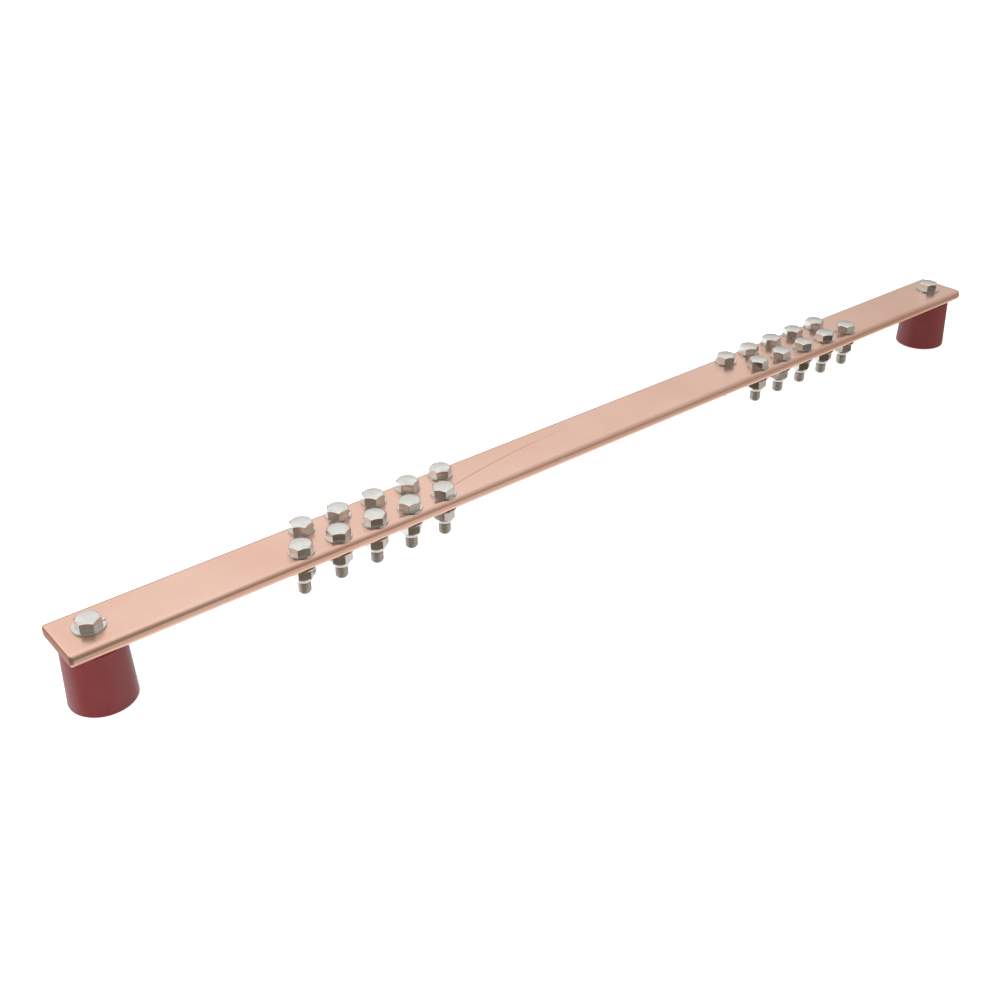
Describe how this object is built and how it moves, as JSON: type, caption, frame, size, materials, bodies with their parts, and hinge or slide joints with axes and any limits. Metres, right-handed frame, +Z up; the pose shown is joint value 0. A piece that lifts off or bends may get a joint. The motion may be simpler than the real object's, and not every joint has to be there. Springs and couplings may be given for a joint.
{
  "type": "rack grounding busbar",
  "caption": "Flat copper earthing bar on two round moulded insulators, with staggered rows of hexagon bolts for cable lugs.",
  "frame": {"origin": "on the mounting surface under the middle of the bar, midway between the two insulators", "axes": "+X along the bar from the near end to the far end, -Y towards the front long edge, +Z up from the insulator bases to the bolt heads"},
  "size_m": [0.612, 0.03, 0.0413],
  "materials": {
    "copper_bar": "bright drawn copper, satin",
    "zinc_plated_steel": "bright zinc plate",
    "moulded_polyester": "smooth moulded, satin, dark maroon",
    "brass_insert": "turned",
    "nylon": "natural nylon, moulded"
  },
  "bodies": {
    "root": {"busbar": "copper_bar", "near_insulator": "moulded_polyester", "near_insulator_top_insert": "brass_insert", "near_insulator_base_insert": "brass_insert", "near_end_washer": "zinc_plated_steel", "near_end_bolt": "zinc_plated_steel", "far_insulator": "moulded_polyester", "far_insulator_top_insert": "brass_insert", "far_insulator_base_insert": "brass_insert", "far_end_washer": "zinc_plated_steel", "far_end_bolt": "zinc_plated_steel", "front_row_bolts": "zinc_plated_steel", "front_row_upper_washers": "zinc_plated_steel", "front_row_lower_washers": "zinc_plated_steel", "front_row_lock_nuts": "zinc_plated_steel", "front_row_nylon_rings": "nylon", "back_row_bolts": "zinc_plated_steel", "back_row_upper_washers": "zinc_plated_steel", "back_row_lower_washers": "zinc_plated_steel", "back_row_lock_nuts": "zinc_plated_steel", "back_row_nylon_rings": "nylon"}
  },
  "joints": []
}
